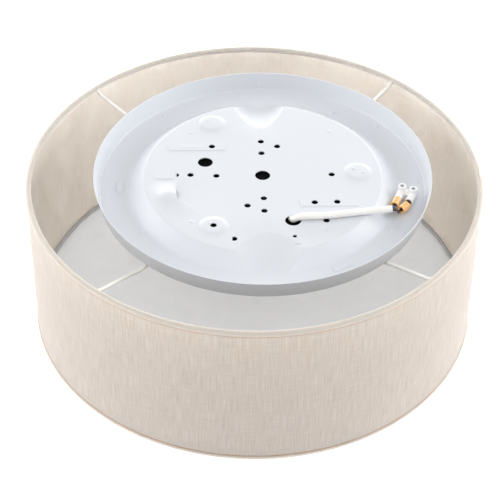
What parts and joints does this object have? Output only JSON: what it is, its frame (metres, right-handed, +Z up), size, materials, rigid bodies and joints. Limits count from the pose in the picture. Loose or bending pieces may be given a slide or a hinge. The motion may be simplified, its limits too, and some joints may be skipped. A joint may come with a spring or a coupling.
{
  "type": "flush mount ceiling light",
  "caption": "Flush mount ceiling light: fabric drum shade on a wire spider, held by thumb nuts under a pressed steel ceiling pan with an LED module, cable and terminal block.",
  "frame": {"origin": "centre of the pan's centre hole, on the plateau's face towards the ceiling", "axes": "+Z up to the ceiling, +X towards the terminal block's side, +Y away from the cable hole"},
  "size_m": [0.38, 0.3799, 0.1474],
  "materials": {
    "pan_enamel": "satin white powder coat",
    "frame_enamel": "satin white powder coat",
    "zinc_steel": "bright zinc",
    "board_aluminium": "white solder mask",
    "led_phosphor": "matt",
    "driver_plastic": "fine spark texture",
    "opal_plastic": "matt opal",
    "cable_white": "smooth soft sheath",
    "core_blue": "smooth",
    "core_brown": "smooth",
    "terminal_white": "satin moulded",
    "collar_amber": "clear amber",
    "terminal_brass": "turned",
    "shade_linen": "slub linen weave",
    "liner_film": "clear stiff film on cloth",
    "nut_plastic": "satin moulded"
  },
  "bodies": {
    "ceiling_base": {"ceiling_pan": "pan_enamel", "fixing_studs": "zinc_steel", "led_standoffs": "zinc_steel", "led_board": "board_aluminium", "led_chips": "led_phosphor", "driver_case": "driver_plastic", "driver_lid": "driver_plastic", "light_cover": "opal_plastic", "cover_screws": "zinc_steel", "supply_inlet": "driver_plastic", "mains_cable": "cable_white", "blue_core": "core_blue", "brown_core": "core_brown", "terminal_body": "terminal_white", "wire_entries": "collar_amber", "terminal_inserts": "terminal_brass"},
    "terminal_screw_1": {"terminal_screw_1": "zinc_steel"},
    "terminal_screw_2": {"terminal_screw_2": "zinc_steel"},
    "shade": {"shade_fabric": "shade_linen", "shade_liner": "liner_film", "top_ring": "frame_enamel", "bottom_ring": "frame_enamel", "spider_spokes": "frame_enamel", "inner_ring": "frame_enamel", "fixing_tabs": "frame_enamel", "nut_washers": "zinc_steel"},
    "thumb_nut_1": {"thumb_nut_1": "nut_plastic"},
    "thumb_nut_2": {"thumb_nut_2": "nut_plastic"},
    "thumb_nut_3": {"thumb_nut_3": "nut_plastic"},
    "diffuser": {"diffuser": "opal_plastic"}
  },
  "joints": [
    {"name": "shade_drop", "type": "slide", "parent": "ceiling_base", "child": "shade", "axis": [0, 0, -1], "range_m": [0, 0.15]},
    {"name": "diffuser_lift", "type": "slide", "parent": "shade", "child": "diffuser", "axis": [0, 0, 1], "range_m": [0, 0.08]},
    {"name": "thumb_nut_turn_1", "type": "hinge", "parent": "shade", "child": "thumb_nut_1", "pos_m": [0, 0.1179, -0.018], "axis": [0, 0, -1], "continuous": true},
    {"name": "thumb_nut_turn_2", "type": "hinge", "parent": "shade", "child": "thumb_nut_2", "pos_m": [-0.1021, -0.05895, -0.018], "axis": [0, 0, -1], "continuous": true},
    {"name": "thumb_nut_turn_3", "type": "hinge", "parent": "shade", "child": "thumb_nut_3", "pos_m": [0.1021, -0.05895, -0.018], "axis": [0, 0, -1], "continuous": true},
    {"name": "terminal_screw_turn_1", "type": "hinge", "parent": "ceiling_base", "child": "terminal_screw_1", "pos_m": [0.11513, -0.01553, -0.002], "axis": [0, 0, 1], "range_deg": [0, 1080]},
    {"name": "terminal_screw_turn_2", "type": "hinge", "parent": "ceiling_base", "child": "terminal_screw_2", "pos_m": [0.12394, -0.01934, -0.002], "axis": [0, 0, 1], "range_deg": [0, 1080]}
  ]
}
